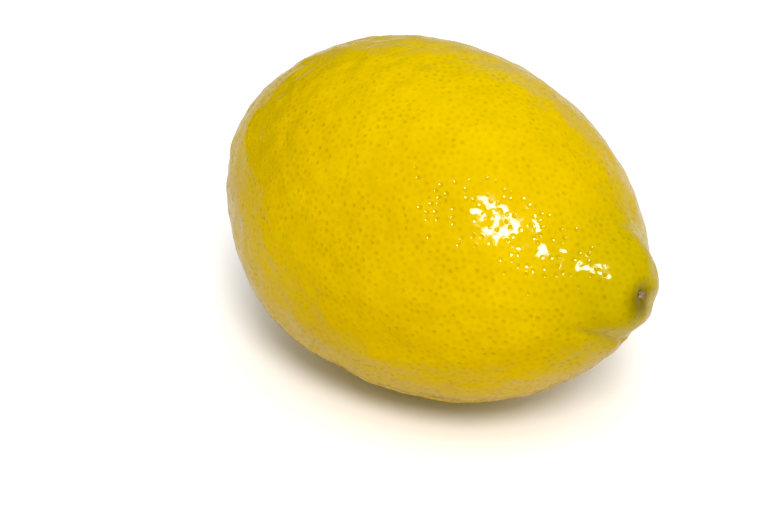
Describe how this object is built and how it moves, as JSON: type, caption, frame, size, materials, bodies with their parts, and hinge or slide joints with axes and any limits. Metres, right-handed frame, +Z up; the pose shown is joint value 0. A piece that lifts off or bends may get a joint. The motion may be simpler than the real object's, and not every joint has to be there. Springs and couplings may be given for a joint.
{
  "type": "lemon",
  "caption": "Whole lemon lying on its side on a small flat resting spot, with a blunt nipple at the blossom end and a dry calyx button in the stem-end hollow.",
  "frame": {"origin": "under the middle of the object's box, on the surface it rests on", "axes": "+X along the fruit towards the nipple at the blossom end, +Z up, away from the resting spot"},
  "size_m": [0.0858, 0.0602, 0.0593],
  "materials": {
    "peel": "waxed lemon peel, glossy yellow with fine oil-gland pits",
    "calyx": "dry, matt olive-brown"
  },
  "bodies": {
    "root": {"fruit": "peel", "calyx_button": "calyx"}
  },
  "joints": []
}
